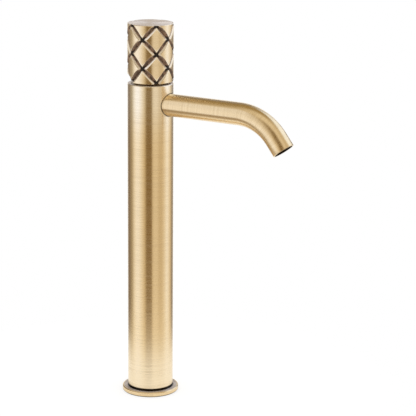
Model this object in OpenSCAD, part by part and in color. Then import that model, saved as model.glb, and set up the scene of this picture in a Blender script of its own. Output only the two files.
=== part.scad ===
// Tall single-lever basin mixer: a round column with a side spout near its top and a
// diamond-cut knob that tilts for flow and turns for temperature.
// Units are millimetres. +Z is up and +X is the way the spout points. The origin is where
// the column's axis meets the deck.

/* [Column] */
// Outer diameter of the column
body_d = 41; // [40:0.5:46]
// Wall thickness of the column's tube
body_wall = 3; // [2.4:0.1:3.4]
// Height of the column's top edge above the deck
body_top = 286.2; // [200:0.1:330]
// Chamfer on the column's top and bottom edges
body_edge = 0.4; // [0.2:0.1:0.8]

/* [Base] */
// Diameter of the deck flange
flange_d = 51; // [48:0.5:60]
// Thickness of the deck flange
flange_h = 4.2; // [3.6:0.2:7]
// Height of the shadow gap between the flange and the column
shadow_gap = 1.6; // [0.6:0.1:2.4]
// Section diameter of the seal ring under the flange
deck_seal_w = 2.4; // [1.8:0.1:2.8]
// Height of the base plug above its shoulder
plug_h = 18; // [17:0.5:30]
// Diameter of the plug's spigot through the flange
spigot_d = 32; // [31:0.5:33]
// Spacing of the two supply inlets
inlet_pitch = 15; // [14:0.2:17]
// Distance of the inlets behind the column's axis
inlet_back = 3; // [2:0.5:5]
// Drilled diameter of the M10 x 1 inlet threads
inlet_d = 9; // [8.6:0.1:9.4]
// Depth of the inlet threads
inlet_depth = 11; // [9:0.5:12]
// Drilled diameter of the M8 fixing stud's thread
stud_d = 6.8; // [5:0.1:7.2]
// Depth of the stud's thread
stud_depth = 14; // [8:0.5:18]
// Distance of the stud in front of the column's axis
stud_x = 10.5; // [9.5:0.1:11]

/* [Inlet pipes] */
// Outer diameter of the inlet pipes
pipe_d = 10; // [8:0.2:10.4]
// Wall thickness of the inlet pipes
pipe_wall = 1; // [0.8:0.1:1.4]
// Depth of the sockets that the pipes seat in
pipe_socket = 8; // [6:0.5:9]
// Section diameter of the pipes' seal rings
pipe_seal_w = 1.6; // [1.2:0.1:1.8]

/* [Spout] */
// Outer diameter of the spout's tube
spout_d = 20; // [18:0.2:21]
// Wall thickness of the spout's tube
spout_wall = 1.5; // [1:0.1:2]
// Distance of the spout's axis below the column's top edge
spout_drop = 17.9; // [17:0.1:22]
// Reach of the straight run, from the column's axis to the bend
spout_run = 91.5; // [60:0.5:160]
// Radius of the bend, to the tube's centre line
bend_r = 46.5; // [30:0.5:80]
// Angle that the bend turns through
bend_angle = 52.5; // [40:0.5:80]
// Length of the straight end below the bend
spout_tail = 12; // [9:0.1:40]
// Thickness of the washer behind the spout
spout_washer = 1.2; // [0.8:0.1:1.6]

/* [Aerator] */
// Height of the aerator's ring
aerator_h = 6.4; // [4:0.2:6.6]
// Depth of the aerator's face inside the outlet
aerator_recess = 1.2; // [0.6:0.1:1.3]
// Wall thickness of the aerator's ring
aerator_wall = 1.2; // [0.8:0.1:1.6]
// Thickness of the aerator's washer
aerator_washer = 1.2; // [0.8:0.1:1.3]

/* [Cartridge] */
// Diameter of the mixing cartridge's housing
cart_d = 24.8; // [24:0.1:25.4]
// Wall thickness of the cartridge's housing
cart_wall = 1.8; // [1.5:0.1:2]
// Height of the cartridge's base
cart_base_h = 5.3; // [4.5:0.1:6]
// Thickness of each ceramic disc
disc_h = 3.5; // [3:0.1:3.6]
// Diameter of the sliding ceramic disc
slider_d = 12.8; // [12:0.1:13.2]
// Height of the slider above the sliding disc
carrier_h = 4.2; // [4:0.1:4.8]
// Depth of the cartridge's seat below the spout's axis
seat_drop = 3.8; // [3:0.1:5]
// Diameter of the water ports
port_d = 4; // [3:0.1:4.2]
// Outer diameter of the retaining nut's thread
nut_d = 30; // [29:0.2:30.4]

/* [Lever] */
// Distance from the lever's pivot to the centre of its ball end
lever_arm = 10; // [9.6:0.1:10.4]
// Diameter of the lever's ball end
ball_d = 4.8; // [4:0.1:5]
// Diameter of the lever's pivot pin
pin_d = 3; // [2.6:0.1:3.2]
// Width of the lever's pivot boss
boss_w = 7; // [6:0.1:8]
// Diameter of the lever's stem in the knob
stem_d = 8; // [7:0.1:9]
// Length of the stem inside the knob
stem_grip = 14; // [11:0.5:24]
// Largest tilt of the lever
tilt_max = 22; // [16:1:22]

/* [Knob] */
// Diameter of the knob
knob_d = 41; // [40:0.5:46]
// Height of the knob
knob_h = 51.5; // [46:0.5:64]
// Gap between the column and the knob
knob_gap = 2; // [1.7:0.1:2.6]
// Chamfer on the knob's top and bottom edges
knob_edge = 0.3; // [0.2:0.1:0.5]
// Diameter of the hollow in the knob's underside
hollow_d = 31; // [31:0.2:32.4]
// Distance behind the axis at which the clearance bevel starts
bevel_start = 4.5; // [3.5:0.1:5]
// Angle of the clearance bevel
bevel_angle = 31; // [29:1:36]
// Number of diamonds around the knob
diamonds_round = 5; // [4:1:6]
// Number of diamonds up the knob
diamonds_high = 2; // [1:1:3]
// Turn of the diamonds from the spout's direction
cut_turn = -6; // [-18:1:18]
// Depth of the cuts where they cross
cut_depth = 1.4; // [0.8:0.1:1.6]
// Half of the angle between a cut's two faces
cut_half_angle = 49; // [40:1:52]
// Plain rim below the lowest crossings
cut_rim = 0.8; // [0:0.1:2]
// Drilled diameter of the knob's set screw hole
screw_d = 5; // [4:0.1:5.4]
// Length of the set screw
screw_l = 10; // [6:0.5:12]

/* [Trim] */
// Wall thickness of the dome over the cartridge
dome_wall = 1; // [0.8:0.1:1.2]
// Height of the dome's rim above the column's top edge
dome_rim_rise = 0.3; // [0.1:0.1:0.4]

/* [Clearances] */
// Radial gap of a seated or soldered joint
seat_gap = 0.05; // [0.03:0.01:0.1]
// Radial gap of a running fit
run_gap = 0.05; // [0.03:0.01:0.08]
// Gap beside a piece that moves freely
free_gap = 0.3; // [0.25:0.05:0.35]
// Gap under the sliding ceramic disc
disc_gap = 0.05; // [0.03:0.01:0.08]

/* [Hidden] */
$fn = 96;
over = 1;

// Column and base
body_r = body_d / 2;
bore_r = body_r - body_wall;
body_bottom = flange_h + shadow_gap;
flange_r = flange_d / 2;
flange_step = 1;
flange_step_r = body_r - flange_step;
flange_edge = 0.6;
spigot_r = spigot_d / 2;
plug_top = body_bottom + plug_h;
deck_seal_r = deck_seal_w / 2;
deck_seal_path_r = (flange_step_r + flange_r) / 2 - flange_edge;
groove_side = 0.2;

// Spout
spout_r = spout_d / 2;
spout_bore_r = spout_r - spout_wall;
spout_z = body_top - spout_drop;
lap_angle = 1;
lap_trim = 0.02;
washer_inset = 0.2;

// Aerator, in the end of the spout. Heights are along the water's way out of the bend.
aerator_face = spout_tail - aerator_recess;
aerator_back = aerator_face - aerator_h;
aerator_r = spout_bore_r - seat_gap;
insert_r = aerator_r - aerator_wall;
lip_h = 1;
lip_w = 1;
insert_step = 0.2;
insert_low = aerator_back + insert_step;
insert_high = aerator_face - lip_h;
jet_r = 0.75;
jet_rings = 2;
jet_edge = 0.5;
jet_pitch = (insert_r - lip_w - jet_edge - jet_r) / jet_rings;

// Cartridge, stacked up from its seat
cart_r = cart_d / 2;
cart_gap = 0.1;
cart_bore_r = cart_r - cart_wall;
seat_z = spout_z - seat_drop;
base_top = seat_z + cart_base_h;
base_flange_h = 2;
base_step = 0.1;
disc_step = 0.2;
fixed_top = base_top + disc_h;
slider_low = fixed_top + disc_gap;
slider_top = slider_low + disc_h;
slider_r = slider_d / 2;
mix_rim = 2.6;
mix_h = 1.6;
carrier_top = slider_top + carrier_h;
ball_r = ball_d / 2;
ball_floor = 0.25;
pivot_z = slider_top + ball_floor + ball_r + lever_arm;
port_r = port_d / 2;
port_y = 5;
outlet_x = 5.2;
port_places = [[-inlet_back, -port_y], [-inlet_back, port_y], [outlet_x, 0]];
port_seal_w = 1.4;
port_seal_r = port_r + port_seal_w;
port_seal_h = 1.5;
slide_l = lever_arm * sin(tilt_max);

// Rotor and the housing's neck around it
rotor_lift = 0.4;
rotor_low = carrier_top + rotor_lift;
rotor_flange_h = 2;
rotor_flange_top = rotor_low + rotor_flange_h;
rotor_flange_r = cart_bore_r - free_gap;
rotor_step = 1.1;
rotor_r = cart_bore_r - rotor_step;
pin_r = pin_d / 2;
pin_roof = 1.7;
pin_inset = 0.2;
rotor_top = pivot_z + pin_r + pin_roof;
slot_w = boss_w + 2 * free_gap;
slot_end = 1;
slot_reach = slide_l + ball_r + slot_end;
lip_z = rotor_flange_top + free_gap;
neck_wall = 1.3;
neck_bore_r = rotor_r + free_gap;
neck_r = neck_bore_r + neck_wall;
neck_rise = 0.8;
neck_top = pivot_z + neck_rise;
shoulder_h = 2.6;
shoulder_z = lip_z + shoulder_h;

// Lever
shank_step = 0.5;
boss_wall = 2;
stem_r = stem_d / 2;
lever_neck_step = 1;
lever_neck_r = stem_r - lever_neck_step;
stem_rise = 5.6;
stem_low = pivot_z + stem_rise;
flat_cut = 0.8;
flat_x = stem_r - flat_cut;

// Retaining nut
nut_r = nut_d / 2;
nut_foot = 1;
nut_foot_gap = 0.2;
nut_gap = 0.1;
nut_recess = 0.9;
nut_lip_h = 2.6;
nut_hex_step = 2;
nut_hex_r = nut_r - nut_hex_step;
nut_top = shoulder_z + nut_lip_h;
thread_z = spout_z + spout_r + nut_foot;

// Valve body and the spout's socket in it
valve_r = bore_r - seat_gap;
valve_foot = 22;
valve_low = seat_z - valve_foot;
valve_top = body_top - nut_recess;
chamber_r = cart_r + cart_gap;
socket_wall = 1.1;
socket_x = chamber_r + socket_wall;
spout_start = socket_x + spout_washer;
channel_r = 2.3;
channel_roof = 1;
channel_z = seat_z - channel_r - channel_roof;

// Inlet pipes, hot at the user's left and cold at the right
pipe_r = pipe_d / 2;
pipe_bore_r = pipe_r - pipe_wall;
pipe_low = plug_top - pipe_socket;
pipe_high = valve_low + pipe_socket;
pipe_seal_r = pipe_seal_w / 2;
plug_seal_z = plug_top - pipe_socket / 2;
valve_seal_z = valve_low + pipe_socket / 2;
inlets = [[-inlet_back, -inlet_pitch / 2], [-inlet_back, inlet_pitch / 2]];
passage_r = 2.5;

// Knob and the dome in its hollow
knob_r = knob_d / 2;
knob_z = body_top + knob_gap;
knob_top = knob_z + knob_h;
hollow_r = hollow_d / 2;
dome_side = 0.5;
dome_r = hollow_r - dome_side;
dome_hole_r = 10.2;
dome_rim_gap = 0.2;
hollow_trim = 0.4;
hollow_top = pivot_z + dome_r - hollow_trim;
stem_top = hollow_top + stem_grip;
stem_end_gap = 1;
screw_r = screw_d / 2;
screw_rise = 1;
screw_z = hollow_top + screw_r + screw_rise;
screw_turn = 180 + cut_turn;
hex_r = 0.55 * screw_r;
hex_depth = 2.5;

// Diamond cuts: straight grooves from one crossing to the next
columns = 2 * diamonds_round;
rows = 2 * diamonds_high;
cross_r = knob_r - cut_depth;
column_turn = 360 / columns;
row_h = (knob_h - cut_rim) / rows;
cut_w = 2 * cross_r * sin(column_turn / 2);
cut_slope = atan2(row_h, cut_w);
cut_end = 7;
cut_l = sqrt(row_h * row_h + cut_w * cut_w) + 2 * cut_end;
cut_out = 8;
relief_r = 0.35;
relief_h = 0.25;

// A round bar along +Z between two heights
module bar(r, low, high) {
  translate([0, 0, low]) cylinder(r = r, h = high - low);
}

// A round bar with a chamfer on both outer edges
module edged_bar(r, low, high, edge) {
  rotate_extrude()
    polygon([
      [0, low], [r - edge, low], [r, low + edge],
      [r, high - edge], [r - edge, high], [0, high]
    ]);
}

// A seal ring of round section, centred on a height
module seal_ring(path_r, section_r, z) {
  translate([0, 0, z]) rotate_extrude() translate([path_r, 0]) circle(r = section_r, $fn = 48);
}

// Puts children at the end of the bend, with +Z along the water's way out
module at_bend_end() {
  translate([spout_run + bend_r * sin(bend_angle), 0, spout_z - bend_r * (1 - cos(bend_angle))])
    rotate([0, 90 + bend_angle, 0])
      children();
}

// Column tube, with the hole that the spout passes through
module body_tube() {
  color([0.72, 0.60, 0.38])
    difference() {
      edged_bar(body_r, body_bottom, body_top, body_edge);
      bar(bore_r, body_bottom - over, body_top + over);
      translate([0, 0, spout_z]) rotate([0, 90, 0]) bar(spout_r + seat_gap, 0, body_r + over);
    }
}

// Deck flange, with a raised ring that the column stands on and a groove for the seal
module base_flange() {
  color([0.72, 0.60, 0.38])
    difference() {
      union() {
        edged_bar(flange_r, 0, flange_h, flange_edge);
        bar(flange_step_r, 0, body_bottom);
      }
      bar(spigot_r + seat_gap, -over, body_bottom + over);
      difference() {
        bar(deck_seal_path_r + deck_seal_r + groove_side, -over, deck_seal_w + groove_side);
        bar(deck_seal_path_r - deck_seal_r - groove_side, -2 * over, flange_h);
      }
    }
}

// Seal ring between the flange and the deck
module deck_seal() {
  color([0.12, 0.12, 0.12]) seal_ring(deck_seal_path_r, deck_seal_r, deck_seal_r);
}

// Room for a pipe's end and for the seal ring around it
module pipe_pocket(low, high, seal_z) {
  seal_room = pipe_seal_r + groove_side;
  bar(pipe_r + seat_gap, low, high);
  bar(pipe_r + pipe_seal_w + groove_side, seal_z - seal_room, seal_z + seal_room);
}

// Plug in the column's foot, with two supply inlets, the stud's thread and two pipe sockets
module base_plug() {
  color([0.75, 0.62, 0.36])
    difference() {
      union() {
        bar(spigot_r, 0, body_bottom + over);
        bar(bore_r - seat_gap, body_bottom, plug_top);
      }
      for (place = inlets)
        translate(place) {
          bar(inlet_d / 2, -over, inlet_depth);
          bar(passage_r, inlet_depth - over, pipe_low + over);
          pipe_pocket(pipe_low, plug_top + over, plug_seal_z);
        }
      translate([stud_x, 0]) bar(stud_d / 2, -over, stud_depth);
    }
}

// Pipe from the base plug up to the valve body
module inlet_pipe(place) {
  color([0.80, 0.50, 0.32])
    translate(place)
      difference() {
        bar(pipe_r, pipe_low, pipe_high);
        bar(pipe_bore_r, pipe_low - over, pipe_high + over);
      }
}

// Hot pipe, at the left of someone who faces the spout
module hot_inlet_pipe() {
  inlet_pipe(inlets[0]);
}

// Cold pipe, at the right
module cold_inlet_pipe() {
  inlet_pipe(inlets[1]);
}

// The four seal rings at the pipes' ends
module pipe_seals() {
  color([0.12, 0.12, 0.12])
    for (place = inlets)
      for (z = [plug_seal_z, valve_seal_z])
        translate(place) seal_ring(pipe_r + seat_gap + pipe_seal_r, pipe_seal_r, z);
}

// Valve body: inlet sockets below, cartridge chamber above, and the way out to the spout
module valve_body() {
  color([0.75, 0.62, 0.36])
    difference() {
      bar(valve_r, valve_low, valve_top);
      bar(chamber_r, seat_z, thread_z + over);
      bar(nut_r + seat_gap, thread_z, valve_top + over);
      for (place = inlets) translate(place) pipe_pocket(valve_low - over, pipe_high, valve_seal_z);
      for (side = [-1, 1])
        translate([-inlet_back, side * (port_y + inlet_pitch / 2) / 2])
          bar(passage_r, pipe_high - over, seat_z + over);
      translate([outlet_x, 0]) bar(port_r, channel_z, seat_z + over);
      translate([0, 0, channel_z]) rotate([0, 90, 0]) bar(channel_r, outlet_x, socket_x + over);
      translate([0, 0, spout_z]) rotate([0, 90, 0]) bar(spout_r + seat_gap, socket_x, body_r);
    }
}

// A length of the spout's tube along +Z
module tube(low, high) {
  difference() {
    bar(spout_r, low, high);
    bar(spout_bore_r, low - over, high + over);
  }
}

// Spout tube: straight run, bend and short straight end. The bend's ends lap a little way
// into the straight parts, so its wall is thinner by a hair on both sides.
module spout_tube() {
  color([0.72, 0.60, 0.38])
    union() {
      translate([0, 0, spout_z]) rotate([0, 90, 0]) tube(spout_start, spout_run);
      translate([spout_run, 0, spout_z - bend_r])
        rotate([90, 0, 0])
          rotate([0, 0, 90 - bend_angle - lap_angle])
            rotate_extrude(angle = bend_angle + 2 * lap_angle)
              translate([bend_r, 0])
                difference() {
                  circle(r = spout_r - lap_trim);
                  circle(r = spout_bore_r + lap_trim);
                }
      at_bend_end() tube(0, spout_tail);
    }
}

// Washer between the spout and the floor of its socket
module spout_washer_ring() {
  color([0.12, 0.12, 0.12])
    translate([0, 0, spout_z])
      rotate([0, 90, 0])
        difference() {
          bar(spout_r - washer_inset, socket_x, spout_start);
          bar(spout_bore_r - washer_inset, socket_x - over, spout_start + over);
        }
}

// Aerator ring, screwed into the outlet
module aerator_ring() {
  color([0.62, 0.52, 0.34])
    at_bend_end()
      difference() {
        bar(aerator_r, aerator_back, aerator_face);
        bar(insert_r, aerator_back - over, insert_high);
        bar(insert_r - lip_w, aerator_back, aerator_face + over);
      }
}

// Aerator insert: a drum of straight water channels, one in the middle and the rest in rings
module aerator_insert() {
  color([0.20, 0.21, 0.22])
    at_bend_end()
      difference() {
        bar(insert_r - seat_gap, insert_low, insert_high);
        bar(jet_r, insert_low - over, insert_high + over);
        for (ring = [1 : jet_rings])
          for (step = [1 : 6 * ring])
            rotate([0, 0, step * 60 / ring])
              translate([ring * jet_pitch, 0]) bar(jet_r, insert_low - over, insert_high + over);
      }
}

// Washer behind the aerator
module aerator_washer_ring() {
  color([0.12, 0.12, 0.12])
    at_bend_end()
      difference() {
        bar(aerator_r - washer_inset, aerator_back - aerator_washer, aerator_back);
        bar(insert_r - lip_w, aerator_back - aerator_washer - over, aerator_back + over);
      }
}

// Base of the mixing cartridge, with three ports and room for their seals
module cartridge_base() {
  color([0.85, 0.86, 0.84])
    difference() {
      union() {
        bar(cart_r, seat_z, seat_z + base_flange_h);
        bar(cart_bore_r - base_step, seat_z, base_top);
      }
      for (place = port_places)
        translate(place) {
          bar(port_r, seat_z - over, base_top + over);
          bar(port_seal_r + seat_gap, seat_z - over, seat_z + port_seal_h);
        }
    }
}

// The three seals under the cartridge's base
module cartridge_port_seals() {
  color([0.12, 0.12, 0.12])
    for (place = port_places)
      translate(place)
        difference() {
          bar(port_seal_r, seat_z, seat_z + port_seal_h);
          bar(port_r, seat_z - over, seat_z + port_seal_h + over);
        }
}

// Cartridge housing, with an inner lip that keeps the rotor down
module cartridge_housing() {
  color([0.93, 0.93, 0.90])
    difference() {
      union() {
        bar(cart_r, seat_z + base_flange_h, shoulder_z);
        bar(neck_r, shoulder_z - over, neck_top);
      }
      bar(cart_bore_r, seat_z + base_flange_h - over, lip_z);
      bar(neck_bore_r, lip_z - over, neck_top + over);
    }
}

// Fixed ceramic disc
module fixed_disc() {
  color([0.96, 0.96, 0.94])
    difference() {
      bar(cart_bore_r - disc_step, base_top, fixed_top);
      for (place = port_places) translate(place) bar(port_r, base_top - over, fixed_top + over);
    }
}

// Sliding ceramic disc, with the mixing hollow in its underside
module sliding_disc() {
  color([0.90, 0.90, 0.88])
    difference() {
      bar(slider_r, slider_low, slider_top);
      bar(slider_r - mix_rim, slider_low - over, slider_low + mix_h);
    }
}

// Slider on the sliding disc, with the round opening that the lever's ball end works in
module disc_carrier() {
  color([0.30, 0.32, 0.34])
    difference() {
      bar(slider_r, slider_top, carrier_top);
      bar(ball_r + free_gap, slider_top - over, carrier_top + over);
    }
}

// Rotor that turns in the housing and carries the lever's pivot pin
module lever_rotor() {
  color([0.30, 0.32, 0.34])
    difference() {
      union() {
        bar(rotor_flange_r, rotor_low, rotor_flange_top);
        bar(rotor_r, rotor_low, rotor_top);
      }
      translate([-slot_reach, -slot_w / 2, rotor_low - over])
        cube([2 * slot_reach, slot_w, rotor_top - rotor_low + 2 * over]);
      translate([0, 0, pivot_z]) rotate([-90, 0, 0]) bar(pin_r, -rotor_r - over, rotor_r + over);
    }
}

// Pivot pin of the lever
module lever_pin() {
  color([0.75, 0.76, 0.78])
    translate([0, 0, pivot_z]) rotate([-90, 0, 0]) bar(pin_r, pin_inset - rotor_r, rotor_r - pin_inset);
}

// Lever: ball end, shank, pivot boss and the stem that the knob is fixed to
module lever() {
  color([0.75, 0.62, 0.36])
    difference() {
      union() {
        translate([0, 0, pivot_z - lever_arm]) sphere(r = ball_r);
        bar(ball_r - shank_step, pivot_z - lever_arm, pivot_z);
        translate([0, 0, pivot_z]) rotate([-90, 0, 0]) bar(pin_r + boss_wall, -boss_w / 2, boss_w / 2);
        bar(lever_neck_r, pivot_z, stem_low + over);
        bar(stem_r, stem_low, stem_top);
      }
      translate([0, 0, pivot_z]) rotate([-90, 0, 0]) bar(pin_r + run_gap, -boss_w, boss_w);
      rotate([0, 0, screw_turn])
        translate([flat_x, -stem_d, hollow_top]) cube([stem_d, 2 * stem_d, stem_grip + over]);
    }
}

// Retaining nut over the cartridge, with a hexagon for the spanner
module retaining_nut() {
  color([0.70, 0.58, 0.34])
    difference() {
      union() {
        bar(nut_r, thread_z + nut_foot_gap, valve_top);
        translate([0, 0, valve_top - over])
          cylinder(r = nut_hex_r, h = nut_top - valve_top + over, $fn = 6);
      }
      bar(cart_r + nut_gap, thread_z, shoulder_z);
      bar(neck_r + nut_gap, shoulder_z - over, nut_top + over);
    }
}

// Dome that covers the nut and the rotor, with the rim seen under the knob
module trim_dome() {
  color([0.78, 0.64, 0.36])
    difference() {
      union() {
        translate([0, 0, pivot_z]) sphere(r = dome_r);
        bar(bore_r - dome_rim_gap, valve_top, body_top + dome_rim_rise);
      }
      translate([0, 0, pivot_z]) sphere(r = dome_r - dome_wall);
      bar(knob_r, pivot_z - 2 * dome_r, valve_top);
      bar(dome_hole_r, pivot_z, knob_top);
      bar(nut_hex_r + free_gap, valve_top - over, nut_top);
    }
}

// The straight V grooves that leave the diamonds standing, and the relief where they cross
module diamond_cuts() {
  wide = cut_out * tan(cut_half_angle);
  for (i = [0 : columns - 1])
    for (k = [0 : rows - 1])
      rotate([0, 0, cut_turn + (i + 0.5) * column_turn])
        translate([cross_r * cos(column_turn / 2), 0, knob_z + cut_rim + (k + 0.5) * row_h])
          rotate([(i + k) % 2 == 1 ? cut_slope : -cut_slope, 0, 0])
            rotate([90, 0, 0])
              linear_extrude(height = cut_l, center = true)
                polygon([[0, 0], [cut_out, -wide], [cut_out, wide]]);
  for (i = [0 : columns - 1])
    for (k = [(i + 1) % 2 : 2 : rows])
      rotate([0, 0, cut_turn + i * column_turn])
        translate([0, 0, knob_z + cut_rim + k * row_h])
          rotate([0, 90, 0]) bar(relief_r, cross_r - relief_h, knob_r + over);
}

// Knob: a turned bar with diamond cuts, a hollow underside and the clearance bevel
module knob() {
  color([0.72, 0.60, 0.38])
    difference() {
      edged_bar(knob_r, knob_z, knob_top, knob_edge);
      bar(hollow_r, knob_z - over, hollow_top);
      bar(stem_r + seat_gap, hollow_top - over, stem_top + stem_end_gap);
      translate([-bevel_start, 0, knob_z])
        rotate([0, bevel_angle, 0])
          translate([-3 * knob_r, -2 * knob_r, -2 * knob_r])
            cube([3 * knob_r, 4 * knob_r, 2 * knob_r]);
      diamond_cuts();
      rotate([0, 0, screw_turn])
        translate([0, 0, screw_z]) rotate([0, 90, 0]) bar(screw_r, 0, knob_r + over);
    }
}

// Set screw that holds the knob on the lever's flat
module knob_set_screw() {
  color([0.35, 0.35, 0.37])
    rotate([0, 0, screw_turn])
      translate([0, 0, screw_z])
        rotate([0, 90, 0])
          difference() {
            bar(screw_r - seat_gap, flat_x, flat_x + screw_l);
            translate([0, 0, flat_x + screw_l - hex_depth])
              cylinder(r = hex_r, h = hex_depth + over, $fn = 6);
          }
}

body_tube();
base_flange();
deck_seal();
base_plug();
hot_inlet_pipe();
cold_inlet_pipe();
pipe_seals();
valve_body();
spout_tube();
spout_washer_ring();
aerator_ring();
aerator_insert();
aerator_washer_ring();
cartridge_base();
cartridge_port_seals();
cartridge_housing();
fixed_disc();
sliding_disc();
disc_carrier();
lever_rotor();
lever_pin();
lever();
retaining_nut();
trim_dome();
knob();
knob_set_screw();
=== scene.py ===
import math

import bmesh
import bpy
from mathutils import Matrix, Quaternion, Vector


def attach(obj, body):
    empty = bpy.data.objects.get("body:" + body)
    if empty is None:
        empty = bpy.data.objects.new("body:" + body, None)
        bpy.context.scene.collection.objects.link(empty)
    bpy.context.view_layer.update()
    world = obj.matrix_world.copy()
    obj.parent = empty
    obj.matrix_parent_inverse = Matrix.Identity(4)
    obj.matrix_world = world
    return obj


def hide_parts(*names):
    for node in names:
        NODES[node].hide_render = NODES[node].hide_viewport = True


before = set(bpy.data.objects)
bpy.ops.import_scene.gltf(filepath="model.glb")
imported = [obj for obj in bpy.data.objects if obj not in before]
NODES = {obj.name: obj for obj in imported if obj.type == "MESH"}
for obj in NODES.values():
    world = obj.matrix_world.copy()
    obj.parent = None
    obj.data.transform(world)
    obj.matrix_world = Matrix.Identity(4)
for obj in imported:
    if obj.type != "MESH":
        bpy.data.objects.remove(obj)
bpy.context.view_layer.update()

SCENE = bpy.context.scene


# ---------------------------------------------------------------- node helpers
def connect(tree, node, values):
    """Sets a node's inputs: a socket is linked, anything else is the input's own value."""
    for key, value in values.items():
        if isinstance(value, bpy.types.NodeSocket):
            tree.links.new(value, node.inputs[key])
        else:
            node.inputs[key].default_value = value
    return node


def add(tree, kind, values=None, **settings):
    node = tree.nodes.new("ShaderNode" + kind)
    for key, value in settings.items():
        setattr(node, key, value)
    return connect(tree, node, values or {})


def maths(tree, operation, a, b=0.0, c=0.0):
    return add(tree, "Math", {0: a, 1: b, 2: c}, operation=operation).outputs[0]


def blend(tree, factor, a, b):
    """Mixes two colours."""
    node = add(tree, "Mix", {0: factor}, data_type="RGBA")
    for socket, value in zip([s for s in node.inputs if s.type == "RGBA"], (a, b)):
        if isinstance(value, bpy.types.NodeSocket):
            tree.links.new(value, socket)
        else:
            socket.default_value = (*value, 1.0)
    return next(s for s in node.outputs if s.type == "RGBA")


def ranged(tree, value, low, high, to_low=0.0, to_high=1.0):
    """Takes low..high smoothly to to_low..to_high, and stays there outside."""
    values = {0: value, 1: low, 2: high, 3: to_low, 4: to_high}
    return add(tree, "MapRange", values, interpolation_type="SMOOTHSTEP").outputs[0]


def inverse(tree, value):
    """One minus a value."""
    return maths(tree, "SUBTRACT", 1.0, value)


def vector(tree, x, y, z):
    return add(tree, "CombineXYZ", {0: x, 1: y, 2: z}).outputs[0]


def length(tree, x, y, z):
    return add(tree, "VectorMath", {0: vector(tree, x, y, z)}, operation="LENGTH").outputs["Value"]


def noise(tree, place, scale, detail=2.0):
    return add(tree, "TexNoise", {"Vector": place, "Scale": scale, "Detail": detail}).outputs[0]


def new_material(name):
    material = bpy.data.materials.new(name)
    material.use_nodes = True
    tree = material.node_tree
    tree.nodes.clear()
    shader = add(tree, "BsdfPrincipled")
    add(tree, "OutputMaterial", {"Surface": shader.outputs[0]})
    return material, tree, shader


def object_xyz(tree):
    place = add(tree, "TexCoord").outputs["Object"]
    split = add(tree, "SeparateXYZ", {0: place})
    return place, split.outputs


# ---------------------------------------------------------------- camera
CAMERA_PLACE = Vector((0.88059, -1.35577, 0.58478))
CAMERA_LENS = 160.155
VIEW_HEADING = math.radians(121.168)
VIEW_PITCH = math.radians(14.330)
VIEW_ROLL = math.radians(0.4685)
CAMERA_SIDE = math.atan2(CAMERA_PLACE.y, CAMERA_PLACE.x)


def make_camera():
    data = bpy.data.cameras.new("camera")
    data.lens = CAMERA_LENS
    data.sensor_width = 36.0
    level = math.cos(VIEW_PITCH)
    forward = Vector((math.cos(VIEW_HEADING) * level, math.sin(VIEW_HEADING) * level,
                      -math.sin(VIEW_PITCH)))
    camera = bpy.data.objects.new("camera", data)
    camera.location = CAMERA_PLACE
    turn = forward.to_track_quat("-Z", "Y") @ Quaternion((0.0, 0.0, 1.0), VIEW_ROLL)
    camera.rotation_euler = turn.to_euler()
    SCENE.collection.objects.link(camera)
    SCENE.camera = camera


make_camera()

# ---------------------------------------------------------------- sizes from the CAD
COLUMN_FOOT = 0.0058
SPOUT_START = 0.0148
SPOUT_RUN = 0.0915
SPOUT_Z = 0.2683
BEND_R = 0.0465
BEND_ANGLE = math.radians(52.5)
SPOUT_TAIL = 0.012
SPOUT_R = 0.010
BORE_R = 0.0085
RIM_EDGE = 0.0003
# How far along the spout's skin, in its UV map, the bore begins
SKIN_UV = 0.2
BORE_START = (SPOUT_RUN - SPOUT_START + BEND_R * BEND_ANGLE + SPOUT_TAIL + SPOUT_R - BORE_R) / SKIN_UV

# ---------------------------------------------------------------- brass
BRASS = (0.86, 0.66, 0.38)
BRASS_DARK = (0.46, 0.31, 0.14)
# Lighter brass for the painted highlight at the column's foot and top
BRASS_HIGHLIGHT = (0.95, 0.82, 0.60)
FACED = (0.70, 0.61, 0.54)
FACED_DARK = (0.36, 0.29, 0.25)
PATINA = (0.140, 0.083, 0.049)
# Near black: the dark line at the spout's joint, and painted shade at the column's foot, in the
# flange's gap and at its foot, in the spout's bore and where the knob's cuts cross
SOOT_AND_SHADE = (0.014, 0.009, 0.006)
ANISOTROPIC = 0.88
# Brush lines: how dark, how rough, and how deep in metres
LINE_DARK = 0.07
LINE_ROUGH = (0.29, 0.21)
LINE_BUMP = 0.00002
# Scale of the lines that turning on a lathe leaves: round the axis, and up it
TURNED_ROUND = 24.0
TURNED_UP = 1500.0
# The same on the spout: across its turn, and along its UV map
SPOUT_ROUND = 0.3
SPOUT_ALONG = 280.0


def shade(colour, share):
    return [share * c for c in colour]


def brushed(tree, shader, across, colour, depth=1.0):
    """Brush lines: across is the place, already stretched along the lines."""
    fine = noise(tree, across, 1.0, 2.0)
    wide = noise(tree, across, 0.22, 2.0)
    streak = maths(tree, "ADD", maths(tree, "MULTIPLY", fine, 0.65),
                   maths(tree, "MULTIPLY", wide, 0.35))
    dark = ranged(tree, streak, 0.34, 0.60, LINE_DARK * depth, 0.0)
    tone = blend(tree, dark, colour, BRASS_DARK)
    rough = ranged(tree, streak, 0.35, 0.65, *LINE_ROUGH)
    bump = add(tree, "Bump", {"Strength": 0.05, "Distance": LINE_BUMP, "Height": streak})
    connect(tree, shader, {"Base Color": tone, "Roughness": rough, "Normal": bump.outputs[0],
                           "Metallic": 1.0, "Anisotropic": ANISOTROPIC})
    return rough


def turned_across(tree, x, y, z):
    """A place stretched along the lines that turning on a lathe leaves."""
    return vector(tree, maths(tree, "MULTIPLY", x, TURNED_ROUND),
                  maths(tree, "MULTIPLY", y, TURNED_ROUND), maths(tree, "MULTIPLY", z, TURNED_UP))


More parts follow.
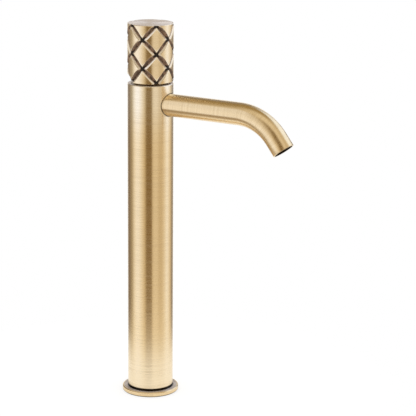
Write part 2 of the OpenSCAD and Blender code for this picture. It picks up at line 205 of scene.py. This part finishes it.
def finish_turned(tree, shader, rough, metal, anisotropic=ANISOTROPIC):
    """Roughness and metal, with the highlight drawn out as brushing round the axis does."""
    tangent = add(tree, "Tangent", direction_type="RADIAL", axis="Z")
    connect(tree, shader, {"Roughness": rough, "Metallic": metal, "Anisotropic": anisotropic,
                           "Anisotropic Rotation": 0.25, "Tangent": tangent.outputs[0]})


def faced(tree, place):
    """The blasted finish of the flat ends: how flat the surface lies, its mottling, and which way
    up the surface faces."""
    normal = add(tree, "TexCoord").outputs["Normal"]
    level = add(tree, "SeparateXYZ", {0: normal}).outputs[2]
    flat = ranged(tree, level, 0.80, 0.96)
    mottle = ranged(tree, noise(tree, place, 900.0, 3.0), 0.30, 0.52)
    return flat, mottle, level


JOINT_DARK = 0.75
# Heights between which the column's foot and top take a painted highlight of lighter brass
FOOT_HIGHLIGHT = (0.065, 0.018)
TOP_HIGHLIGHT = (0.215, 0.275)


def column_brass(name):
    """Brass turned and brushed round the column's axis, with blasted flat ends, a dark line where the
    spout goes in, painted shade at its foot, and a painted highlight towards its foot and top."""
    material, tree, shader = new_material(name)
    place, (x, y, z) = object_xyz(tree)
    flat, mottle, _ = faced(tree, place)
    end = blend(tree, mottle, shade(FACED, 0.85), FACED)
    height = maths(tree, "SUBTRACT", z, SPOUT_Z)
    ring = length(tree, 0.0, y, height)
    joint = maths(tree, "MULTIPLY", ranged(tree, x, 0.0, 0.001),
                  ranged(tree, ring, SPOUT_R + 0.0004, SPOUT_R + 0.0009, JOINT_DARK, 0.0))
    # Painted shade: the column's foot turns black above the shadow gap
    foot = ranged(tree, z, COLUMN_FOOT + 0.0004, COLUMN_FOOT + 0.0009, 1.0, 0.0)
    # Painted highlight: the foot and the top turn towards lighter brass
    low = ranged(tree, z, *FOOT_HIGHLIGHT, 0.0, 0.65)
    high = maths(tree, "POWER", ranged(tree, z, *TOP_HIGHLIGHT), 2.0)
    brass_with_highlights = blend(tree, maths(tree, "MAXIMUM", low, high), BRASS, BRASS_HIGHLIGHT)
    side = blend(tree, maths(tree, "MAXIMUM", joint, foot), brass_with_highlights, SOOT_AND_SHADE)
    rough = brushed(tree, shader, turned_across(tree, x, y, z), blend(tree, flat, side, end))
    matt = maths(tree, "MAXIMUM", rough, maths(tree, "MULTIPLY", flat, 0.5))
    metal = maths(tree, "MULTIPLY_ADD", flat, -0.6, 1.0)
    finish_turned(tree, shader, matt, metal)
    return material


# Radii of the flange's painted highlight along the rim and of the painted shade in its gap, and
# heights of the painted shade line at its foot
FLANGE_RIM_HIGHLIGHT = (0.0238, 0.0246)
FLANGE_GAP_SHADE = (0.0206, 0.0214)
FLANGE_FOOT_SHADE = (0.0005, 0.0013)


def flange_brass(name):
    """The flange: brushed side, a painted highlight along the rim, a blasted grey top, painted shade
    in the shadow gap, and a painted shade line at its foot.
    """
    material, tree, shader = new_material(name)
    place, (x, y, z) = object_xyz(tree)
    flat, mottle, _ = faced(tree, place)
    radius = length(tree, x, y, 0.0)
    # Painted highlight: the outer edge of the top turns from blasted grey to bright brass
    rim = ranged(tree, radius, *FLANGE_RIM_HIGHLIGHT)
    blasted = blend(tree, mottle, shade(FACED, 0.60), shade(FACED, 0.95))
    end = blend(tree, rim, blasted, BRASS)
    # Painted shade: the top under the column's overhang turns black
    gap_shade = ranged(tree, radius, *FLANGE_GAP_SHADE, 1.0, 0.0)
    # Painted shade: a black line round the flange's foot, where it meets the floor
    low = ranged(tree, z, *FLANGE_FOOT_SHADE, 0.9, 0.0)
    stain = maths(tree, "MULTIPLY", inverse(tree, mottle), 0.25)
    stained = blend(tree, stain, BRASS, FACED_DARK)
    skin = blend(tree, flat, stained, end)
    colour = blend(tree, maths(tree, "MAXIMUM", gap_shade, low), skin, SOOT_AND_SHADE)
    rough = brushed(tree, shader, turned_across(tree, x, y, z), colour)
    matt = maths(tree, "MAXIMUM", rough, maths(tree, "MULTIPLY", flat, 0.45))
    metal = maths(tree, "MULTIPLY_ADD", flat, -0.4, 1.0)
    finish_turned(tree, shader, matt, metal)
    return material


def spout_brass(name):
    """Brass brushed round the spout, by the spout's own UV map: length and turn, and painted shade
    that turns the bore black.
    """
    material, tree, shader = new_material(name)
    uv = add(tree, "UVMap", uv_map="UVMap").outputs[0]
    split = add(tree, "SeparateXYZ", {0: uv}).outputs
    turn = maths(tree, "MULTIPLY", split[1], 2.0 * math.pi)
    across = vector(tree, maths(tree, "MULTIPLY", maths(tree, "COSINE", turn), SPOUT_ROUND),
                    maths(tree, "MULTIPLY", maths(tree, "SINE", turn), SPOUT_ROUND),
                    maths(tree, "MULTIPLY", split[0], SPOUT_ALONG))
    # Painted shade: the bore turns black from just inside the rim
    bore_shade = ranged(tree, split[0], BORE_START - 0.0035, BORE_START - 0.0015)
    rough = brushed(tree, shader, across, blend(tree, bore_shade, BRASS, SOOT_AND_SHADE))
    matt = maths(tree, "MAXIMUM", rough, maths(tree, "MULTIPLY", bore_shade, 0.6))
    tangent = add(tree, "Tangent", direction_type="UV_MAP", uv_map="UVMap")
    connect(tree, shader, {"Roughness": matt, "Tangent": tangent.outputs[0]})
    return material


# The knob's cuts as the CAD places them: ten columns and four rows of crossings
CUT_TURN = math.radians(-6.0)
CUT_COLUMN = math.radians(36.0)
CUT_LOW = 0.2890
CUT_ROW = 0.012675
# From a share of the way between two cuts to millimetres
CUT_PITCH = 9.03
KNOB_SKIN = 0.0172
KNOB_TOP = 0.3397
# Lighter brass: a little of it all over the knob, and the painted highlight along the diamonds' edges
KNOB_TONE_AND_HIGHLIGHT = (1.0, 0.91, 0.72)
# Painted highlight on the cuts' walls that face up
KNOB_WALL_HIGHLIGHT = (0.92, 0.76, 0.60)
KNOB_ANISOTROPIC = 0.8
# The knob's brush lines against the column's
KNOB_LINES = 0.35
# How far a cut's wall faces down for its patina to reach wider as painted shade, and up to take a
# painted highlight: 1 is straight up
FACES_DOWN = (-0.05, -0.30)
FACES_UP = (0.05, 0.30)


def knob_brass(name):
    """Turned brass with diamond cuts. Patina lies in the cuts and reaches wider on the walls that
    face down as painted shade, painted black shade lies where cuts cross, and the walls that face up
    and the diamonds' edges carry a painted highlight."""
    material, tree, shader = new_material(name)
    place, (x, y, z) = object_xyz(tree)
    flat, mottle, level = faced(tree, place)
    radius = length(tree, x, y, 0.0)
    around = maths(tree, "DIVIDE", maths(tree, "SUBTRACT", maths(tree, "ARCTAN2", y, x), CUT_TURN),
                   CUT_COLUMN)
    upward = maths(tree, "DIVIDE", maths(tree, "SUBTRACT", z, CUT_LOW), CUT_ROW)
    rising = maths(tree, "PINGPONG", maths(tree, "SUBTRACT", around, upward), 1.0)
    falling = maths(tree, "PINGPONG", maths(tree, "ADD", around, upward), 1.0)
    # Millimetres to the nearest cut, and to the nearest one of the other slant
    near = maths(tree, "MULTIPLY", inverse(tree, maths(tree, "MAXIMUM", rising, falling)), CUT_PITCH)
    other = maths(tree, "MULTIPLY", inverse(tree, maths(tree, "MINIMUM", rising, falling)), CUT_PITCH)
    grime = noise(tree, place, 300.0, 4.0)
    skin = maths(tree, "MULTIPLY", ranged(tree, radius, KNOB_SKIN - 0.0004, KNOB_SKIN),
                 inverse(tree, flat))
    # Painted shade: the patina reaches wider on the walls that face down
    under = ranged(tree, level, *FACES_DOWN)
    # Painted highlight on the walls that face up, near the cuts' edges
    over = maths(tree, "MULTIPLY", ranged(tree, level, *FACES_UP), ranged(tree, near, 1.9, 1.6))
    spread = ranged(tree, z, CUT_LOW - 0.002, KNOB_TOP - 0.012, 0.30, 0.0)
    share = maths(tree, "ADD", spread, maths(tree, "MULTIPLY_ADD", under, 0.95, 0.80))
    reach = maths(tree, "MULTIPLY", ranged(tree, other, 0.0, 6.0, 0.55, 1.30), share)
    uneven = maths(tree, "SUBTRACT", grime, 0.5)
    edge = maths(tree, "SUBTRACT", maths(tree, "SUBTRACT", near, reach),
                 maths(tree, "MULTIPLY", uneven, 0.9))
    dark = maths(tree, "MULTIPLY", skin, ranged(tree, edge, -0.15, 0.35, 1.0, 0.0))
    # Painted shade: black where the cuts cross
    core = maths(tree, "SUBTRACT", near, ranged(tree, other, 0.8, 5.0, 1.25, -0.12))
    core = maths(tree, "SUBTRACT", core, maths(tree, "MULTIPLY", uneven, 0.4))
    deep = maths(tree, "MULTIPLY", skin, ranged(tree, core, -0.10, 0.25, 0.95, 0.0))
    # Painted highlight along the diamonds' edges
    edge_highlight = maths(tree, "MULTIPLY", ranged(tree, near, 3.0, 2.0), ranged(tree, near, 1.1, 1.6))
    grain = ranged(tree, noise(tree, place, 1400.0, 2.0), 0.35, 0.65, 0.10, 0.0)
    brass_with_highlights = blend(tree, maths(tree, "MAXIMUM", maths(tree, "MULTIPLY", edge_highlight, 0.9), 0.3), BRASS,
                 KNOB_TONE_AND_HIGHLIGHT)
    brass_with_highlights = blend(tree, grain, brass_with_highlights, BRASS_DARK)
    wall_highlight = maths(tree, "MULTIPLY", maths(tree, "MULTIPLY", over, skin), 0.6)
    brass_with_highlights = blend(tree, wall_highlight, brass_with_highlights, KNOB_WALL_HIGHLIGHT)
    old = blend(tree, ranged(tree, grime, 0.38, 0.66), shade(PATINA, 0.8), shade(PATINA, 2.2))
    # Patina in the cuts, together with the painted shade and painted highlights
    aged = blend(tree, deep, blend(tree, dark, brass_with_highlights, old), SOOT_AND_SHADE)
    end = blend(tree, mottle, shade(FACED, 0.92), FACED)
    rough = brushed(tree, shader, turned_across(tree, x, y, z), blend(tree, flat, aged, end),
                    KNOB_LINES)
    dull = maths(tree, "MAXIMUM", flat, dark)
    matt = maths(tree, "MAXIMUM", rough, maths(tree, "MULTIPLY", dull, 0.5))
    metal = maths(tree, "MULTIPLY_ADD", dull, -0.7, 1.0)
    # Less metal under the painted highlights, so they stay light under the white world
    metal = maths(tree, "SUBTRACT", metal,
                  maths(tree, "MULTIPLY", maths(tree, "MAXIMUM", wall_highlight, edge_highlight), 0.3))
    finish_turned(tree, shader, matt, metal, KNOB_ANISOTROPIC)
    return material


def plain(name, colour, roughness, metallic=0.0, grain=400.0):
    """A moulded or machined finish with a fine grain."""
    material, tree, shader = new_material(name)
    place, _ = object_xyz(tree)
    fine = noise(tree, place, grain, 3.0)
    tone = blend(tree, ranged(tree, fine, 0.3, 0.7), shade(colour, 0.9),
                 [min(c, 1.0) for c in shade(colour, 1.08)])
    rough = ranged(tree, fine, 0.3, 0.7, roughness * 1.15, roughness * 0.85)
    bump = add(tree, "Bump", {"Strength": 0.1, "Distance": 0.0001, "Height": fine})
    connect(tree, shader, {"Base Color": tone, "Roughness": rough, "Metallic": metallic,
                           "Normal": bump.outputs[0]})
    return material


FINISHES = {
    "column_brass": column_brass("column_brass"),
    "flange_brass": flange_brass("flange_brass"),
    "knob_brass": knob_brass("knob_brass"),
    "plain_brass": plain("plain_brass", (0.74, 0.56, 0.28), 0.35, 1.0),
    "aged_brass": plain("aged_brass", (0.30, 0.22, 0.12), 0.35, 1.0),
    # Painted shade: the base plug, seen through the shadow gap, is near black
    "painted_shade_brass": plain("painted_shade_brass", (0.030, 0.020, 0.012), 0.6, 0.6),
    "copper": plain("copper", (0.80, 0.42, 0.27), 0.3, 1.0),
    "rubber": plain("rubber", (0.012, 0.012, 0.013), 0.65),
    "white_plastic": plain("white_plastic", (0.72, 0.72, 0.70), 0.4),
    "dark_plastic": plain("dark_plastic", (0.04, 0.042, 0.045), 0.4),
    "ceramic": plain("ceramic", (0.85, 0.84, 0.80), 0.12),
    "steel": plain("steel", (0.62, 0.63, 0.65), 0.28, 1.0),
    "black_steel": plain("black_steel", (0.07, 0.07, 0.075), 0.4, 1.0),
}
DRESS = {
    "column_brass": ("body_tube",),
    "flange_brass": ("base_flange",),
    "knob_brass": ("knob",),
    "plain_brass": ("valve_body", "lever", "retaining_nut"),
    "aged_brass": ("aerator_ring", "trim_dome"),
    "painted_shade_brass": ("base_plug",),
    "copper": ("hot_inlet_pipe", "cold_inlet_pipe"),
    "rubber": ("deck_seal", "pipe_seals", "spout_washer_ring", "aerator_washer_ring",
               "cartridge_port_seals"),
    "white_plastic": ("cartridge_base", "cartridge_housing"),
    # The aerator insert's dark plastic is painted shade in the spout's outlet
    "dark_plastic": ("disc_carrier", "lever_rotor", "aerator_insert"),
    "ceramic": ("fixed_disc", "sliding_disc"),
    "steel": ("lever_pin",),
    "black_steel": ("knob_set_screw",),
}
for finish, names in DRESS.items():
    for name in names:
        for slot in NODES[name].material_slots:
            slot.material = FINISHES[finish]

# ---------------------------------------------------------------- spout
SPOUT_TURNS = 96
STRAIGHT_STEPS = 16
BEND_STEPS = 48


def spout_place(travel):
    """The point on the spout's centre line at a travel from the column's axis, and its slope."""
    bend = BEND_R * BEND_ANGLE
    if travel <= SPOUT_RUN:
        return Vector((travel, 0.0, SPOUT_Z)), 0.0
    angle = min((travel - SPOUT_RUN) / BEND_R, BEND_ANGLE)
    place = Vector((SPOUT_RUN + BEND_R * math.sin(angle), 0.0,
                    SPOUT_Z - BEND_R * (1.0 - math.cos(angle))))
    rest = travel - SPOUT_RUN - bend
    if rest > 0.0:
        place += Vector((math.cos(angle), 0.0, -math.sin(angle))) * rest
    return place, angle


def make_spout():
    """The spout's tube as one swept skin: outside, rounded rim, and the bore inside."""
    end = SPOUT_RUN + BEND_R * BEND_ANGLE + SPOUT_TAIL
    straight = [SPOUT_START + (SPOUT_RUN - SPOUT_START) * i / STRAIGHT_STEPS
                for i in range(STRAIGHT_STEPS)]
    curved = [SPOUT_RUN + BEND_R * BEND_ANGLE * i / BEND_STEPS for i in range(BEND_STEPS + 1)]
    tail = [end - SPOUT_TAIL * 0.5, end - RIM_EDGE]
    outside = [(s, SPOUT_R) for s in straight + curved + tail]
    rim = [(end - RIM_EDGE * (1.0 - math.sin(a)), SPOUT_R - RIM_EDGE * (1.0 - math.cos(a)))
           for a in (math.radians(30), math.radians(60), math.radians(90))]
    face = [(end, BORE_R + RIM_EDGE), (end - RIM_EDGE * 0.3, BORE_R + RIM_EDGE * 0.3),
            (end - RIM_EDGE, BORE_R)]
    inside = [(s, BORE_R) for s in reversed(straight + curved + tail[:1])]
    profile = outside + rim + face + inside
    mesh = bpy.data.meshes.new("spout_skin")
    form = bmesh.new()
    uv = form.loops.layers.uv.new("UVMap")
    rings = []
    for along, radius in profile:
        place, slope = spout_place(along)
        up = Vector((math.sin(slope), 0.0, math.cos(slope)))
        side = Vector((0.0, 1.0, 0.0))
        rings.append([form.verts.new(place + (up * math.cos(t) + side * math.sin(t)) * radius)
                      for t in [2.0 * math.pi * k / SPOUT_TURNS for k in range(SPOUT_TURNS)]])
    count = len(rings)
    travel = [0.0]
    for a, b in zip(profile, profile[1:]):
        travel.append(travel[-1] + math.hypot(b[0] - a[0], b[1] - a[1]))
    travel.append(travel[-1] + SPOUT_R - BORE_R)
    for i in range(count):
        low, high = rings[i], rings[(i + 1) % count]
        for k in range(SPOUT_TURNS):
            nxt = (k + 1) % SPOUT_TURNS
            quad = form.faces.new((low[k], high[k], high[nxt], low[nxt]))
            quad.smooth = True
            for loop, (u, v) in zip(quad.loops, ((i, k), (i + 1, k), (i + 1, k + 1), (i, k + 1))):
                loop[uv].uv = (travel[u] / SKIN_UV, v / SPOUT_TURNS)
    bmesh.ops.recalc_face_normals(form, faces=form.faces)
    form.to_mesh(mesh)
    form.free()
    spout = bpy.data.objects.new("spout_skin", mesh)
    SCENE.collection.objects.link(spout)
    mesh.materials.append(spout_brass("spout_brass"))
    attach(spout, "column")
    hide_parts("spout_tube")


make_spout()

# ---------------------------------------------------------------- floor
FLOOR_R = 0.24
# The radius from which the floor fades out
FLOOR_FADE = 0.10
# Diffuse and glow together come to white under the white world
FLOOR_DIFFUSE = (0.40, 0.40, 0.40, 1.0)
FLOOR_GLOW = 0.655


def make_floor():
    """A white floor that fades into the backdrop, the same for every ray, so metal shows it too."""
    mesh = bpy.data.meshes.new("floor")
    form = bmesh.new()
    bmesh.ops.create_circle(form, cap_ends=True, segments=96, radius=FLOOR_R)
    form.to_mesh(mesh)
    form.free()
    floor = bpy.data.objects.new("floor", mesh)
    SCENE.collection.objects.link(floor)
    material = bpy.data.materials.new("floor")
    material.use_nodes = True
    tree = material.node_tree
    tree.nodes.clear()
    place, _ = object_xyz(tree)
    radius = add(tree, "VectorMath", {0: place}, operation="LENGTH").outputs["Value"]
    fade = ranged(tree, radius, FLOOR_FADE, FLOOR_R)
    diffuse = add(tree, "BsdfDiffuse", {"Color": FLOOR_DIFFUSE})
    glow = add(tree, "Emission", {"Color": (1.0, 1.0, 1.0, 1.0), "Strength": FLOOR_GLOW})
    lit = add(tree, "AddShader", {0: diffuse.outputs[0], 1: glow.outputs[0]})
    clear = add(tree, "BsdfTransparent")
    mixed = add(tree, "MixShader", {0: fade, 1: lit.outputs[0], 2: clear.outputs[0]})
    add(tree, "OutputMaterial", {"Surface": mixed.outputs[0]})
    floor.data.materials.append(material)


make_floor()

# ---------------------------------------------------------------- studio
# The camera and diffuse rays see plain white. Glossy rays see a studio that stands still in the
# world, by angle from the side that the camera is on: a wide bright panel on the left, a dark gap
# at the camera, softer panels on the right, and dark corners either side of the white backdrop.
# The panels end overhead, under a dim ceiling, and below the horizon in a darker ground.
CORNER = (0.27, 0.25, 0.25)
GAP = (0.21, 0.135, 0.048)
AMBER = (0.53, 0.44, 0.29)
BRONZE = (0.43, 0.38, 0.30)
UMBER = (0.23, 0.19, 0.16)
HONEY = (0.66, 0.58, 0.46)
GOLD = (0.78, 0.72, 0.63)
CREAM = (0.92, 0.93, 0.98)
WHITE = (1.01, 1.07, 1.26)
STUDIO = ((-180, CORNER), (-132, UMBER), (-107, BRONZE), (-88, CREAM), (-77, WHITE), (-62, WHITE),
          (-50, CREAM), (-38, GOLD), (-27, AMBER), (-20, GAP), (5, GAP), (10, HONEY), (18, GOLD),
          (34, GOLD), (44, HONEY), (58, HONEY), (68, GOLD), (82, CREAM), (92, WHITE), (102, CREAM),
          (122, HONEY), (138, CORNER), (180, CORNER))
CEILING_FRONT = (0.84, 0.79, 0.70)
CEILING_BACK = (0.36, 0.265, 0.11)
BANK = (1.10, 1.26, 1.62)
GROUND = (0.42, 0.35, 0.28)
BACKDROP = (1.0, 1.0, 1.0)
# Where they begin and end: by a ray's height, 1 straight up and -1 straight down, and by its
# turn from the camera's side, in radians
CEILING_HEIGHT = (0.62, 0.84)
CEILING_TURN = (0.5, 2.3)
GROUND_HEIGHT = (-0.42, -0.58)
BANK_TURN = ((1.35, 1.60), (2.80, 2.55))
BANK_HEIGHT = ((0.14, 0.30), (0.86, 0.76))
BACKDROP_TURN = (2.60, 2.90)
BACKDROP_HEIGHT = (0.46, 0.30)


def make_world():
    """White for the camera and for diffuse light, and the studio for reflections."""
    world = bpy.data.worlds.new("studio")
    SCENE.world = world
    world.use_nodes = True
    tree = world.node_tree
    tree.nodes.clear()
    ray = add(tree, "TexCoord").outputs["Generated"]
    turned = add(tree, "VectorRotate", {"Vector": ray, "Angle": math.pi - CAMERA_SIDE},
                 rotation_type="Z_AXIS").outputs[0]
    x, y, z = add(tree, "SeparateXYZ", {0: turned}).outputs
    angle = maths(tree, "ARCTAN2", maths(tree, "MULTIPLY", y, -1.0), maths(tree, "MULTIPLY", x, -1.0))
    share = maths(tree, "MULTIPLY_ADD", angle, 0.5 / math.pi, 0.5)
    ramp = add(tree, "ValToRGB", {0: share})
    stops = ramp.color_ramp.elements
    while len(stops) < len(STUDIO):
        stops.new(0.5)
    for stop, (degrees, tone) in zip(stops, STUDIO):
        stop.position = (degrees + 180.0) / 360.0
        stop.color = (*tone, 1.0)
    lift = maths(tree, "MULTIPLY", ranged(tree, z, -0.60, -0.35, 0.92, 1.08),
                 ranged(tree, z, 0.0, 0.36, 1.0, 0.92))
    walls = add(tree, "VectorMath", {0: ramp.outputs[0], "Scale": lift}, operation="SCALE").outputs[0]
    aside = maths(tree, "ABSOLUTE", angle)
    ceiling = blend(tree, ranged(tree, aside, *CEILING_TURN), CEILING_FRONT, CEILING_BACK)
    room = blend(tree, ranged(tree, z, *CEILING_HEIGHT), walls, ceiling)
    room = blend(tree, ranged(tree, z, *GROUND_HEIGHT), room, GROUND)
    sides = [ranged(tree, angle, *edge) for edge in BANK_TURN]
    ends = [ranged(tree, z, *edge) for edge in BANK_HEIGHT]
    bank = maths(tree, "MULTIPLY", maths(tree, "MULTIPLY", *sides), maths(tree, "MULTIPLY", *ends))
    room = blend(tree, bank, room, BANK)
    behind = maths(tree, "MULTIPLY", ranged(tree, aside, *BACKDROP_TURN),
                   ranged(tree, z, *BACKDROP_HEIGHT))
    studio = blend(tree, behind, room, BACKDROP)
    glossy = add(tree, "LightPath").outputs["Is Glossy Ray"]
    final = blend(tree, glossy, BACKDROP, studio)
    back = add(tree, "Background", {"Color": final, "Strength": 1.0})
    add(tree, "OutputWorld", {"Surface": back.outputs[0]})


make_world()

SCENE.view_settings.view_transform = "Standard"
